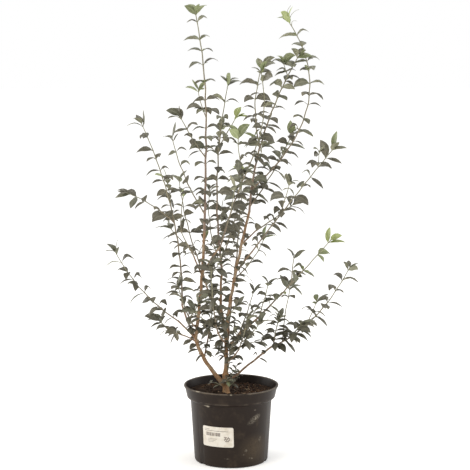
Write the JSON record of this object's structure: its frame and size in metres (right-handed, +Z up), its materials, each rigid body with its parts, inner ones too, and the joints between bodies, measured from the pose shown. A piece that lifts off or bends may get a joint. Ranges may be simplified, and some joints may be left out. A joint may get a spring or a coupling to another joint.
{
  "type": "potted burkwood osmanthus",
  "caption": "Evergreen shrub with several upright leafy stems and small oval leaves in opposite pairs, growing in a round plastic nursery pot of soil.",
  "frame": {"origin": "centre of the pot's flat underside", "axes": "+Z up along the pot's axis, +X to the right and +Y away from a viewer who faces the sticker's side"},
  "size_m": [0.623, 0.4099, 1.1106],
  "materials": {
    "pot_plastic": "dark recycled plastic, scuffed",
    "soil": "dark moist compost with bark chips",
    "label_paper": "off-white coated label",
    "bark": "warm brown bark",
    "leaves": "leathery grey-green leaves"
  },
  "bodies": {
    "root": {"pot": "pot_plastic", "soil": "soil", "sticker": "label_paper", "trunk": "bark", "left_bough": "bark", "leader_bough": "bark", "left_long_bough": "bark", "low_left_bough": "bark", "foot_left_bough": "bark", "inner_left_bough": "bark", "cross_bough": "bark", "centre_bough": "bark", "back_bough": "bark", "right_tall_bough": "bark", "right_mid_bough": "bark", "right_low_bough": "bark", "side_right_bough": "bark", "mid_right_bough": "bark", "rear_bough": "bark", "rear_left_bough": "bark", "front_bough": "bark", "front_right_bough": "bark", "back_left_bough": "bark", "inner_right_bough": "bark", "front_left_bough": "bark", "leader_foliage": "leaves", "left_long_foliage": "leaves", "low_left_foliage": "leaves", "foot_left_foliage": "leaves", "inner_left_foliage": "leaves", "cross_foliage": "leaves", "back_foliage": "leaves", "right_tall_foliage": "leaves", "right_mid_foliage": "leaves", "right_low_foliage": "leaves", "side_right_foliage": "leaves", "mid_right_foliage": "leaves", "rear_foliage": "leaves", "rear_left_foliage": "leaves", "front_foliage": "leaves", "front_right_foliage": "leaves", "back_left_foliage": "leaves", "inner_right_foliage": "leaves", "front_left_foliage": "leaves"}
  },
  "joints": []
}
